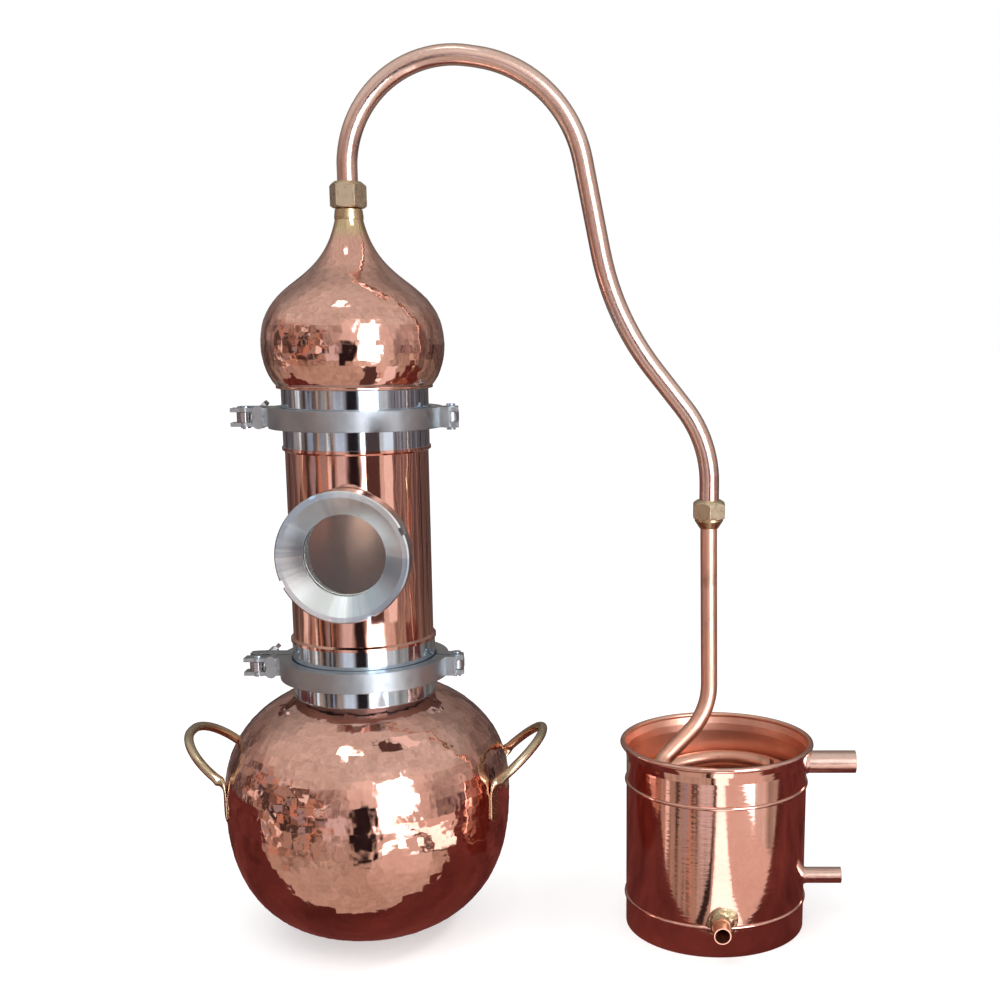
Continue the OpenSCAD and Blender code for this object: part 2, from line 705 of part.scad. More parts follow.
module lower_clamp_front_jaw() color(steel) at_lower() front_jaw_shape();
module lower_clamp_rear_jaw() color(steel) at_lower() rear_jaw_shape();
module lower_clamp_hinge_pin() color(dark_steel) at_lower() hinge_pin_shape();
module lower_clamp_bolt_pin() color(dark_steel) at_lower() bolt_pin_shape();
module lower_clamp_swing_bolt() color(dark_steel) at_lower() swing_bolt_shape();
module lower_clamp_washer() color(dark_steel) at_lower() washer_shape();
module lower_clamp_wing_nut() color(steel) at_lower() wing_nut_shape();
module upper_clamp_front_jaw() color(steel) at_upper() front_jaw_shape();
module upper_clamp_rear_jaw() color(steel) at_upper() rear_jaw_shape();
module upper_clamp_hinge_pin() color(dark_steel) at_upper() hinge_pin_shape();
module upper_clamp_bolt_pin() color(dark_steel) at_upper() bolt_pin_shape();
module upper_clamp_swing_bolt() color(dark_steel) at_upper() swing_bolt_shape();
module upper_clamp_washer() color(dark_steel) at_upper() washer_shape();
module upper_clamp_wing_nut() color(steel) at_upper() wing_nut_shape();

pot();
pot_ferrule();
handle_left();
handle_right();
lower_gasket();
column_lower_ferrule();
column_tube();
column_upper_ferrule();
upper_gasket();
head_ferrule();
sight_port();
sight_rear_seal();
sight_glass();
sight_front_seal();
sight_ring_nut();
head();
head_nipple();
neck_seal();
neck_slip_ring();
neck_nut();
swan_neck();
swan_collars();
condenser_nut();
condenser_slip_ring();
condenser_seal();
coil_nipple();
coil();
coil_support_strips();
bucket_wall();
bucket_floor();
overflow_pipe();
water_inlet();
outlet_bush();
lower_clamp_front_jaw();
lower_clamp_rear_jaw();
lower_clamp_hinge_pin();
lower_clamp_bolt_pin();
lower_clamp_swing_bolt();
lower_clamp_washer();
lower_clamp_wing_nut();
upper_clamp_front_jaw();
upper_clamp_rear_jaw();
upper_clamp_hinge_pin();
upper_clamp_bolt_pin();
upper_clamp_swing_bolt();
upper_clamp_washer();
upper_clamp_wing_nut();
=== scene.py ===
import math

import bpy
import numpy as np
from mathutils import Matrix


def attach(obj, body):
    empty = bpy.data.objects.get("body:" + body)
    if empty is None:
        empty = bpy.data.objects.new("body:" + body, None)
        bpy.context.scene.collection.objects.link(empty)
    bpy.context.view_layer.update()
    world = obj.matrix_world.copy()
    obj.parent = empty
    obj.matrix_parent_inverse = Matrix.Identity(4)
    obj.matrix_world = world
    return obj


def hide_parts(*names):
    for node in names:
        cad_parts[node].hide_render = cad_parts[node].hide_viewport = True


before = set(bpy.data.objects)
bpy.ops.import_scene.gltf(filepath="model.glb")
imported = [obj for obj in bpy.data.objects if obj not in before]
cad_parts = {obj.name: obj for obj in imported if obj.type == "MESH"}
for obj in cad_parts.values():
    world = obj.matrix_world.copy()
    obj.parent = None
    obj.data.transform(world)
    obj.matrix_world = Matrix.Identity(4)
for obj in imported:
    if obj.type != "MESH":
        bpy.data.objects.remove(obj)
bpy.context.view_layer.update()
mm = 0.001  # the design is in millimetres, the scene in metres
print("still: frame loaded,", len(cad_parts), "nodes")


def shade(tree, kind, settings=None, **inputs):
    # adds a node, sets its options, then its inputs, called by their names or by place as n0, n1:
    # a number or colour is set, a socket is linked
    node = tree.nodes.new(kind)
    for key, value in (settings or {}).items():
        setattr(node, key, value)
    for key, value in inputs.items():
        socket = node.inputs[int(key[1:]) if key[0] == "n" and key[1:].isdigit() else key]
        if isinstance(value, bpy.types.NodeSocket):
            tree.links.new(value, socket)
        else:
            socket.default_value = value
    return node


def reckon(tree, operation, *values):
    # one number worked out from others
    places = {f"n{i}": value for i, value in enumerate(values)}
    return shade(tree, "ShaderNodeMath", {"operation": operation}, **places).outputs[0]


def reckonVector(tree, operation, *values):
    places = {f"n{i}": value for i, value in enumerate(values)}
    made = shade(tree, "ShaderNodeVectorMath", {"operation": operation}, **places)
    return made.outputs["Value" if operation == "LENGTH" else "Vector"]


def newMaterial(name):
    mat = bpy.data.materials.new(name)
    mat.use_nodes = True
    tree = mat.node_tree
    tree.nodes.clear()
    surface = tree.nodes.new("ShaderNodeBsdfPrincipled")
    output = tree.nodes.new("ShaderNodeOutputMaterial")
    tree.links.new(surface.outputs[0], output.inputs["Surface"])
    return mat, tree, surface


def objectPoint(tree, scale=(1, 1, 1), place=(0, 0, 0), turn=(0, 0, 0)):
    coord = shade(tree, "ShaderNodeTexCoord").outputs["Object"]
    return shade(tree, "ShaderNodeMapping", Vector=coord, Scale=scale, Location=place, Rotation=turn).outputs[0]


def noise(tree, point, size, detail=2.0, rough=0.5):
    # size is the grain's width in metres
    made = shade(tree, "ShaderNodeTexNoise", Vector=point, Scale=1.0 / size, Detail=detail, Roughness=rough)
    return made.outputs["Fac"]


def spread(tree, value, low, high, fromLow=0.3, fromHigh=0.7):
    # carries fromLow..fromHigh over to low..high, and holds it there outside
    made = shade(tree, "ShaderNodeMapRange", Value=value)
    for i, v in ((1, fromLow), (2, fromHigh), (3, low), (4, high)):
        made.inputs[i].default_value = v
    return made.outputs[0]


def mixColour(tree, fac, first, second, blend="MIX"):
    made = tree.nodes.new("ShaderNodeMix")
    made.data_type = "RGBA"
    made.blend_type = blend
    for i, value in ((0, fac), (6, first), (7, second)):
        if isinstance(value, bpy.types.NodeSocket):
            tree.links.new(value, made.inputs[i])
        else:
            made.inputs[i].default_value = value if i == 0 else (*value, 1)
    return made.outputs[2]


def bump(tree, height, depth, strength=1.0, normal=None):
    # depth is the bump's height in metres
    made = shade(tree, "ShaderNodeBump", Height=height, Distance=depth, Strength=strength)
    if normal is not None:
        tree.links.new(normal, made.inputs["Normal"])
    return made.outputs[0]


def swirl(tree, axis, centre):
    # direction of turning marks: across both the axis and the line out from it
    coord = shade(tree, "ShaderNodeTexCoord").outputs["Object"]
    out = reckonVector(tree, "SUBTRACT", coord, centre)
    return reckonVector(tree, "NORMALIZE", reckonVector(tree, "CROSS_PRODUCT", axis, out))


# ripple and grit are depths in metres, and every size is a width in metres
copperLook = {
    "hammered": {"clean": (0.90, 0.565, 0.475), "warm": (0.82, 0.47, 0.375), "rough": (0.05, 0.10),
                 "ripple": 0.00048, "rippleSize": 0.012},
    "rolled": {"clean": (0.90, 0.555, 0.46), "warm": (0.83, 0.47, 0.37), "rough": (0.045, 0.10),
               "ripple": 0.0006, "rippleSize": 0.018},
    "bucket": {"clean": (0.91, 0.58, 0.49), "warm": (0.85, 0.50, 0.41), "rough": (0.06, 0.12),
               "ripple": 0.000084, "rippleSize": 0.014},
    # pipe: tones paler than the other copper, painted light standing in for the pipe's brightly lit look
    "pipe": {"clean": (0.95, 0.74, 0.66), "warm": (0.90, 0.64, 0.55), "rough": (0.17, 0.26),
             "ripple": 0.00024, "rippleSize": 0.012},
    # inside: copper tones a little lighter than the outer ones, a painted lift against the shade inside; rougher
    "inside": {"clean": (0.96, 0.60, 0.47), "warm": (0.90, 0.49, 0.36), "rough": (0.30, 0.45),
               "ripple": 0.00048, "rippleSize": 0.02},
}
copperMarks = {
    "speck": (0.55, 0.25, 0.17), "speckAmount": 0.12, "speckSize": 0.004,
    "smudge": (0.42, 0.18, 0.12), "smudgeSize": 0.025, "brazed": (0.70, 0.55, 0.33),
    "cloudSize": 0.06, "hazeSize": 0.03, "insideDull": 0.26, "grit": 0.00001, "gritSize": 0.0012,
}


def insideOf(tree, centre, radius, flares=()):
    # 1 where a point is nearer an upright axis than a radius, 0 outside it; each flare widens the radius with height
    coord = shade(tree, "ShaderNodeTexCoord").outputs["Object"]
    away = reckonVector(tree, "SUBTRACT", coord, (*centre, 0.0))
    length = reckonVector(tree, "LENGTH", reckonVector(tree, "MULTIPLY", away, (1.0, 1.0, 0.0)))
    height = shade(tree, "ShaderNodeSeparateXYZ", n0=coord).outputs[2]
    for low, high, growth in flares:
        length = reckon(tree, "SUBTRACT", length, spread(tree, height, 0.0, growth, low, high))
    edge = 0.0002
    return spread(tree, length, 1.0, 0.0, radius - edge, radius + edge)


def heightAbove(tree, low, high):
    # rises from 0 to 1 between two heights in metres
    coord = shade(tree, "ShaderNodeTexCoord").outputs["Object"]
    return spread(tree, shade(tree, "ShaderNodeSeparateXYZ", n0=coord).outputs[2], 0.0, 1.0, low, high)


def copperMaterial(name, look, stretch=(1, 1, 1), smudge=0.0, hollow=None, brassFrom=None):
    # clean and warm copper in clouds, with dark specks; smudge is how strongly it is soiled, hollow gives the axis and
    # radius inside which it is rougher and painted a little lighter, a painted lift against the shade inside, and
    # brassFrom the two heights between which it turns to brazing brass
    v, marks = copperLook[look], copperMarks
    mat, tree, surface = newMaterial(name)
    point = objectPoint(tree)
    cloud = noise(tree, point, marks["cloudSize"], 4.0, 0.6)
    tint = mixColour(tree, spread(tree, cloud, 0.0, 1.0), v["clean"], v["warm"])
    specks = noise(tree, point, marks["speckSize"], 3.0)
    tint = mixColour(tree, spread(tree, specks, 0.0, marks["speckAmount"]), tint, marks["speck"])
    if smudge > 0:
        spots = noise(tree, objectPoint(tree, place=(0.3, 0.1, 0.2)), marks["smudgeSize"], 5.0, 0.7)
        tint = mixColour(tree, spread(tree, spots, 0.0, smudge, 0.56, 0.7), tint, marks["smudge"])
    if brassFrom:
        tint = mixColour(tree, heightAbove(tree, *brassFrom), tint, marks["brazed"])
    haze = noise(tree, point, marks["hazeSize"], 5.0, 0.65)
    rough = spread(tree, haze, *v["rough"])
    if hollow:
        # painted light: inside the hollow the copper takes the lighter inside tones, lifting the shade there, and is
        # rougher
        dull, mask = copperLook["inside"], insideOf(tree, *hollow)
        stain = noise(tree, point, marks["hazeSize"], 5.0, 0.7)
        wornAndPaintedLift = mixColour(tree, spread(tree, stain, 0.0, 1.0), dull["clean"], dull["warm"])
        tint = mixColour(tree, mask, tint, wornAndPaintedLift)
        rough = reckon(tree, "ADD", rough, reckon(tree, "MULTIPLY", mask, marks["insideDull"]))
    tree.links.new(tint, surface.inputs["Base Color"])
    surface.inputs["Metallic"].default_value = 1.0
    tree.links.new(rough, surface.inputs["Roughness"])
    wave = noise(tree, objectPoint(tree, scale=stretch), v["rippleSize"], 1.0)
    grit = noise(tree, point, marks["gritSize"], 2.0)
    normal = bump(tree, grit, marks["grit"], 0.6, bump(tree, wave, v["ripple"]))
    tree.links.new(normal, surface.inputs["Normal"])
    return mat


brassLook = {
    "clean": (0.72, 0.62, 0.44), "warm": (0.66, 0.54, 0.36), "edge": (0.90, 0.82, 0.64), "round": 0.0008,
    "cloudSize": 0.02, "dullSize": 0.006, "scratchSize": 0.003, "scratchStretch": (1, 1, 9),
}


def brassMaterial(name, rough, wornAndPaintedLift=0.35, marks=0.00003):
    # the third argument is how bright the rubbed edges are, marks the depth of the scratches in metres
    v = brassLook
    mat, tree, surface = newMaterial(name)
    point = objectPoint(tree)
    cloud = noise(tree, point, v["cloudSize"], 4.0, 0.6)
    tint = mixColour(tree, spread(tree, cloud, 0.0, 1.0), v["clean"], v["warm"])
    edge = shade(tree, "ShaderNodeNewGeometry").outputs["Pointiness"]
    tint = mixColour(tree, spread(tree, edge, 0.0, wornAndPaintedLift, 0.51, 0.56), tint, v["edge"])
    tree.links.new(tint, surface.inputs["Base Color"])
    surface.inputs["Metallic"].default_value = 1.0
    dull = noise(tree, point, v["dullSize"], 4.0)
    tree.links.new(spread(tree, dull, rough * 0.75, rough * 1.3), surface.inputs["Roughness"])
    soft = shade(tree, "ShaderNodeBevel", {"samples": 4}, Radius=v["round"]).outputs[0]
    scratch = noise(tree, objectPoint(tree, scale=v["scratchStretch"]), v["scratchSize"], 3.0)
    tree.links.new(bump(tree, scratch, marks, 0.7, soft), surface.inputs["Normal"])
    return mat


steelLook = {
    "bright": {"clean": (0.68, 0.83, 0.94), "dull": (0.56, 0.68, 0.78)},
    "cast": {"clean": (0.50, 0.55, 0.58), "dull": (0.42, 0.465, 0.495)},
    # the fans: tones of painted shade and painted highlight on a turned face, their turn and their rays
    "fanPaintedShade": (0.50, 0.61, 0.70), "fanPaintedHighlight": (0.90, 0.98, 1.0), "fanTurn": -1.75, "rays": 2.4,
    "round": 0.0012, "cloudSize": 0.025, "dullSize": 0.008, "castSize": 0.0025,
    "scratch": 0.00002, "scratchSize": 0.006, "scratchStretch": (1, 1, 12),
}


def paintedFanGlint(tree, centre):
    # painted highlight: the colour is painted light in two fans where turning marks would glint, following cos of twice
    # the angle round the axis, broken into rays
    v = steelLook
    coord = shade(tree, "ShaderNodeTexCoord").outputs["Object"]
    part = shade(tree, "ShaderNodeSeparateXYZ", n0=reckonVector(tree, "SUBTRACT", coord, centre))
    around = reckon(tree, "ARCTAN2", part.outputs[2], part.outputs[0])
    wave = reckon(tree, "COSINE", reckon(tree, "MULTIPLY_ADD", around, 2.0, v["fanTurn"]))
    rays = shade(tree, "ShaderNodeTexNoise", {"noise_dimensions": "1D"}, W=around, Scale=3.0, Detail=4.0, Roughness=0.7)
    return spread(tree, reckon(tree, "MULTIPLY_ADD", rays.outputs["Fac"], v["rays"], wave), 0.0, 1.0, 0.5, 1.9)


def steelMaterial(name, rough, aniso=0.0, swirlAxis=None, centre=(0, 0, 0), cast=0.0, soft=True, paintedFan=False):
    # cast is the depth of a cast skin in metres, soft rounds the edges, and the last flag is for a face turned round an
    # axis, whose colour is painted with fans of highlight and shade
    v = steelLook
    mat, tree, surface = newMaterial(name)
    point = objectPoint(tree)
    tones = v["cast" if cast else "bright"]
    cloud = noise(tree, point, v["cloudSize"], 4.0, 0.6)
    tint = mixColour(tree, spread(tree, cloud, 0.0, 1.0), tones["clean"], tones["dull"])
    # painted highlight and shade: a turned face's colour is painted in fans instead of clouds
    if paintedFan:
        tint = mixColour(tree, paintedFanGlint(tree, centre), v["fanPaintedShade"], v["fanPaintedHighlight"])
    tree.links.new(tint, surface.inputs["Base Color"])
    surface.inputs["Metallic"].default_value = 1.0
    vary = 0.02 if paintedFan else 0.22
    dull = noise(tree, point, v["dullSize"], 4.0)
    tree.links.new(spread(tree, dull, rough * (1 - vary), rough * (1 + vary)), surface.inputs["Roughness"])
    surface.inputs["Anisotropic"].default_value = aniso
    if swirlAxis:
        tree.links.new(swirl(tree, swirlAxis, centre), surface.inputs["Tangent"])
    normal = shade(tree, "ShaderNodeBevel", {"samples": 4}, Radius=v["round"]).outputs[0] if soft else None
    if cast:
        normal = bump(tree, noise(tree, point, v["castSize"], 3.0), cast, 0.8, normal)
    if not paintedFan:
        scratch = noise(tree, objectPoint(tree, scale=v["scratchStretch"]), v["scratchSize"], 2.0)
        tree.links.new(bump(tree, scratch, v["scratch"], 0.5, normal), surface.inputs["Normal"])
    return mat


def threadedMaterial(name, tint, rough, axis, pitch, above=None):
    # rings of a triangular section along one axis, a pitch apart, from a height up if one is given; the rings are
    # bumped, and their grooves painted darker as painted shade
    mat, tree, surface = newMaterial(name)
    turn = {"X": (0, 0, 0), "Y": (0, 0, -math.pi / 2), "Z": (0, math.pi / 2, 0)}[axis]
    bands = {"wave_type": "BANDS", "bands_direction": "X", "wave_profile": "TRI"}
    onePerMetre = 0.314  # the scale at which the bands come once a metre
    rings = shade(tree, "ShaderNodeTexWave", bands, Vector=objectPoint(tree, turn=turn), Scale=onePerMetre / pitch)
    surface.inputs["Metallic"].default_value = 1.0
    level = rings.outputs["Fac"]
    if above:
        plain = spread(tree, heightAbove(tree, above, above + 0.0003), 1.0, 0.0, 0.0, 1.0)
        level = reckon(tree, "MAXIMUM", level, plain)
    # painted shade: the colour falls to 0.45 of the tint in the thread's grooves
    paintedGrooveShade = mixColour(tree, level, tuple(c * 0.45 for c in tint), tint)
    tree.links.new(paintedGrooveShade, surface.inputs["Base Color"])
    grain = noise(tree, objectPoint(tree), 0.004)
    tree.links.new(spread(tree, grain, rough * 0.8, rough * 1.2), surface.inputs["Roughness"])
    tree.links.new(bump(tree, level, pitch * 0.5), surface.inputs["Normal"])
    return mat


def sealMaterial(name):
    mat, tree, surface = newMaterial(name)
    point = objectPoint(tree)
    tint = mixColour(tree, noise(tree, point, 0.01, 4.0), (0.80, 0.80, 0.76), (0.66, 0.66, 0.62))
    tree.links.new(tint, surface.inputs["Base Color"])
    tree.links.new(spread(tree, noise(tree, point, 0.005), 0.45, 0.6), surface.inputs["Roughness"])
    tree.links.new(bump(tree, noise(tree, point, 0.0015, 3.0), 0.00005), surface.inputs["Normal"])
    return mat


def glassMaterial(name):
    mat, tree, surface = newMaterial(name)
    point = objectPoint(tree)
    tint = mixColour(tree, noise(tree, point, 0.03, 2.0), (0.93, 0.97, 0.95), (0.97, 0.99, 0.98))
    tree.links.new(tint, surface.inputs["Base Color"])
    surface.inputs["Transmission Weight"].default_value = 1.0
    surface.inputs["IOR"].default_value = 1.47
    tree.links.new(spread(tree, noise(tree, point, 0.02, 5.0, 0.7), 0.01, 0.05), surface.inputs["Roughness"])
    return mat


def makeMesh(name, points, faces, mat):
    # points are in metres
    mesh = bpy.data.meshes.new(name)
    mesh.from_pydata(points.tolist(), [], faces)
    mesh.polygons.foreach_set("use_smooth", np.ones(len(mesh.polygons), bool))
    mesh.materials.append(mat)
    mesh.update()
    piece = bpy.data.objects.new(name, mesh)
    bpy.context.collection.objects.link(piece)
    return piece


def gridFaces(rows, cols, wrapRows=False):
    # quads of a grid that closes on itself along the columns, and along the rows if asked
    i = np.arange(rows if wrapRows else rows - 1)[:, None]
    j = np.arange(cols)[None, :]
    a, b = i * cols + j, i * cols + (j + 1) % cols
    c, d = ((i + 1) % rows) * cols + (j + 1) % cols, ((i + 1) % rows) * cols + j
    return np.stack([a, b, c, d], -1).reshape(-1, 4)


def alongCurve(curve, count):
    # points spaced evenly along a polyline by its length
    step = np.r_[0, np.cumsum(np.hypot(*np.diff(curve, axis=0).T))]
    t = np.linspace(0, 1, count) * step[-1]
    return np.stack([np.interp(t, step, curve[:, k]) for k in (0, 1)], -1)


def turnRound(curve, at):
    # a curve of radius and height carried round the axis, one ring for each of its points
    r, z = curve[:, :1], np.broadcast_to(curve[:, 1:], (len(curve), len(at)))
    return np.stack([r * np.cos(at), r * np.sin(at), z], -1).reshape(-1, 3)


def curveNormal(curve):
    # outward side of a profile that runs upward, in radius and height
    slope = np.gradient(curve, axis=0)
    n = np.stack([slope[:, 1], -slope[:, 0]], -1)
    return n / np.linalg.norm(n, axis=1)[:, None]


def zipRings(low, lowAt, high, highAt):
    # joins two rings of different counts: each step along one ring makes a triangle with the other ring's point that is
    # level with the step's middle; low and high are the rings' first points, lowAt and highAt their sorted turns
    def middles(at):
        mid = (at + np.r_[at[1:], at[0] + 2 * np.pi]) / 2
        return mid, np.r_[mid - 2 * np.pi, mid, mid + 2 * np.pi]
    (a, aMany), (b, bMany) = middles(lowAt), middles(highAt)
    na, nb = len(a), len(b)
    i, j = np.arange(na), np.arange(nb)
    toB = np.mod(np.searchsorted(bMany, a, "left") - nb, nb)
    toA = np.mod(np.searchsorted(aMany, b, "right") - na, na)
    lower = np.stack([low + i, low + (i + 1) % na, high + toB], -1)
    upper = np.stack([low + toA, high + (j + 1) % nb, high + j], -1)
    return np.concatenate([lower, upper])


def hammeredShell(name, outer, inner, v, mat):
    # the outer profile is worked into rows of flat blows: each row has round(2 pi r / size) facets of uneven width,
    # each facet has four corners a little inside its share of the row, moved in or out at random, and narrow rounded
    # ridges are left between them; normals are mostly each facet's own, with a little of the smooth surface's
    rng = np.random.default_rng(v["seed"])
    step = np.r_[0, np.cumsum(np.hypot(*np.diff(outer, axis=0).T))]
    side = curveNormal(outer)
    total, gap, plain = step[-1], v["ridge"], v["plainAround"]
    plainAt = np.arange(plain) * 2 * np.pi / plain + 0.001

    def lathe(length, at, shift):
        # points and outward normals at lengths along the profile and turns round the axis, moved out by the shift
        r, z = (np.interp(length, step, outer[:, k]) for k in (0, 1))
        nr, nz = (np.interp(length, step, side[:, k]) for k in (0, 1))
        size = np.maximum(np.hypot(nr, nz), 1e-9)
        nr, nz = nr / size, nz / size
        place = np.stack([(r + nr * shift) * np.cos(at), (r + nr * shift) * np.sin(at), z + nz * shift], -1)
        return place, np.stack([nr * np.cos(at), nr * np.sin(at), nz], -1)

    points, normals, faces, rings = [], [], [], []
    count = 0

    def addRing(length, at, shift, own=None, share=0.0):
        nonlocal count
        place, smooth = lathe(length, at, shift)
        points.append(place)
        normals.append(smooth if own is None else own * share + smooth * (1 - share))
        rings.append((count, at))
        count += len(at)

    # plain rings of the foot, then the rows of blows, then plain rings to the top
    low, high = v["markLow"], v["markHigh"] * total
    rowCount = int(round((high - low) / v["markSize"]))
    edges = low + (high - low) * np.arange(rowCount + 1) / rowCount
    edges[1:-1] += rng.uniform(-0.12, 0.12, rowCount - 1) * v["markSize"]
    for length in np.linspace(0, low, v["lowRings"] + 1)[1 if v["closedFoot"] else 0:-1]:
        addRing(np.full(plain, length), plainAt, 0.0)
    for k in range(rowCount):
        middle = np.interp((edges[k] + edges[k + 1]) / 2, step, outer[:, 0])
        n = max(6, int(round(2 * np.pi * middle / v["markSize"])))
        width, tall = 2 * np.pi / n, edges[k + 1] - edges[k]
        cuts = (np.arange(n) + rng.uniform(-0.2, 0.2, n) + rng.random()) * width
        cuts = np.sort(np.mod(cuts, 2 * np.pi))
        lean = rng.uniform(-0.07, 0.07, n) * width
        after, leanAfter = np.r_[cuts[1:], cuts[0] + 2 * np.pi], np.r_[lean[1:], lean[0]]
        fade = min(1.0, (edges[k] - low + 4) / v["fadeLow"], (high - edges[k] + 4) / v["fadeTop"])
        lift = rng.normal(0, v["markDepth"], n) * fade
        tiltU, tiltV = rng.normal(0, v["tilt"], (2, n)) * fade
        corner, ringAt = [], []
        for up, way in ((gap, -1), (1 - gap, 1)):
            at = np.stack([cuts + lean * way + gap * width, after + leanAfter * way - gap * width], -1)
            length = edges[k] + tall * (up + rng.uniform(-0.06, 0.06, (n, 2)))
            shift = lift[:, None] + tiltU[:, None] * np.array([-1, 1]) + tiltV[:, None] * way
            ringAt.append((length.ravel(), at.ravel(), shift.ravel()))
            corner.append(lathe(*ringAt[-1])[0].reshape(n, 2, 3))
        own = np.cross(corner[1][:, 1] - corner[0][:, 0], corner[1][:, 0] - corner[0][:, 1])
        own = np.repeat(own / np.linalg.norm(own, axis=1)[:, None], 2, axis=0)
        for length, at, shift in ringAt:
            addRing(length, at, shift, own, v["flat"] * fade)
    for length in np.linspace(high, total, v["topRings"] + 1)[1:]:
        addRing(np.full(plain, length), plainAt, 0.0)
    for (a, aAt), (b, bAt) in zip(rings[:-1], rings[1:]):
        if len(aAt) == len(bAt):
            i = np.arange(len(aAt))
            j = (i + 1) % len(aAt)
            faces += np.stack([a + i, a + j, b + j, b + i], -1).tolist()
        else:
            faces += zipRings(a, aAt, b, bAt).tolist()

    # the inner wall comes back down from the lip, and closes on itself or on the outer foot
    outerEnd = rings[-1][0]
    back = alongCurve(inner[::-1], v["insideRows"])
    if v["closedFoot"]:
        back = back[:-1]
    points.append(turnRound(back, plainAt))
    normals.append(turnRound(-curveNormal(back[::-1])[::-1], plainAt))
    i = np.arange(plain)
    j = (i + 1) % plain
    for a, b in [(outerEnd, count)] + [(count + plain * k, count + plain * (k + 1)) for k in range(len(back) - 1)]:
        faces += np.stack([a + i, a + j, b + j, b + i], -1).tolist()
    last = count + plain * (len(back) - 1)
    if v["closedFoot"]:
        foot = count + plain * len(back)
        points.append(np.array([[0, 0, outer[0, 1]], [0, 0, inner[0, 1]]]))
        normals.append(np.array([[0, 0, -1.0], [0, 0, 1.0]]))
        faces += np.stack([np.full(plain, foot), j, i], -1).tolist()
        faces += np.stack([last + i, last + j, np.full(plain, foot + 1)], -1).tolist()
    else:
        faces += np.stack([last + i, last + j, j, i], -1).tolist()
    piece = makeMesh(name, np.concatenate(points) * mm, faces, mat)
    normals = np.concatenate(normals)
    normals /= np.linalg.norm(normals, axis=1)[:, None]
    piece.data.normals_split_custom_set_from_vertices(normals.tolist())
    return piece


def sweptBar(name, path, wide, thick, square, lean, mat, around=20):
    # a closed bar along a path: at each point the section is a superellipse, wide by thick, where a power of 2 is
    # round and more is squarer; lean is the direction of the thickness at each point
    ahead = np.gradient(path, axis=0)
    ahead /= np.linalg.norm(ahead, axis=1)[:, None]
    up = lean - (lean * ahead).sum(1)[:, None] * ahead
    up /= np.linalg.norm(up, axis=1)[:, None]
    across = np.cross(ahead, up)
    a = np.arange(around) * 2 * np.pi / around
    power = (2 / square)[:, None]
    x = np.sign(np.cos(a)) * np.abs(np.cos(a)) ** power * wide[:, None]
    y = np.sign(np.sin(a)) * np.abs(np.sin(a)) ** power * thick[:, None]
    ring = path[:, None, :] + across[:, None, :] * x[..., None] + up[:, None, :] * y[..., None]
    points = np.concatenate([ring.reshape(-1, 3), path[:1], path[-1:]])
    n = len(ring) * around
    faces = gridFaces(len(ring), around).tolist()
    j = np.arange(around)
    faces += np.stack([np.full(around, n), (j + 1) % around, j], -1).tolist()
    last = (len(ring) - 1) * around
    faces += np.stack([last + j, last + (j + 1) % around, np.full(around, n + 1)], -1).tolist()
    return makeMesh(name, points * mm, faces, mat)


def smoothPath(points, count, rounds=4):
    # corner cutting: each pass keeps the quarter points of every leg, then the curve is spaced evenly
    p = np.array(points, float)
    for _ in range(rounds):
        a, b = p[:-1], p[1:]
        cut = np.stack([a * 0.75 + b * 0.25, a * 0.25 + b * 0.75], 1).reshape(-1, 3)
        p = np.concatenate([p[:1], cut, p[-1:]])
    step = np.r_[0, np.cumsum(np.linalg.norm(np.diff(p, axis=0), axis=1))]
    t = np.linspace(0, step[-1], count)
    return np.stack([np.interp(t, step, p[:, k]) for k in range(3)], -1), t


hammeredCopper = copperMaterial("hammeredCopper", "hammered")
rolledCopper = copperMaterial("rolledCopper", "rolled", (1, 1, 0.35), hollow=((0.0, 0.0), 0.0738))
rimFlares = ((0.1915, 0.2095, 0.00252), (0.1995, 0.2095, 0.0016))  # from, to and growth, in metres
bucketCopper = copperMaterial("bucketCopper", "bucket", (1, 1, 4.0), hollow=((0.385, 0.0), 0.0988, rimFlares))
headCopper = copperMaterial("headCopper", "hammered", brassFrom=(0.744, 0.756))
pipeCopper = copperMaterial("pipeCopper", "pipe")
# the coil and the bucket's floor take the inside tones, painted a little lighter against the shade in the bucket
dullCopper = copperMaterial("dullCopper", "inside", smudge=0.5)
turnedBrass = brassMaterial("turnedBrass", 0.30)
handleBrass = brassMaterial("handleBrass", 0.24, 0.0, 0.000004)
mirrorSteel = steelMaterial("mirrorSteel", 0.07, soft=False)
castSteel = steelMaterial("castSteel", 0.36, 0.35, (0.0, 0.0, 1.0), cast=0.00003)
# the ring nut's colour holds painted highlights and painted shade in two fans
turnedSteel = steelMaterial("turnedSteel", 0.26, 0.6, (0.0, 1.0, 0.0), (0, 0, 0.431), soft=False, paintedFan=True)
boltSteel = steelMaterial("boltSteel", 0.18)
sealRubber = sealMaterial("sealRubber")
sightGlassClear = glassMaterial("sightGlassClear")
threadBrass = (0.66, 0.53, 0.33)
headThread = threadedMaterial("headThread", threadBrass, 0.28, "Z", 0.0015, 0.776)
coilThread = threadedMaterial("coilThread", threadBrass, 0.28, "Z", 0.0015, 0.4562)
portThread = threadedMaterial("portThread", (0.6, 0.6, 0.61), 0.25, "Y", 0.004)
boltThread = threadedMaterial("boltThread", (0.55, 0.55, 0.56), 0.25, "Y", 0.0015)
print("still: materials made")

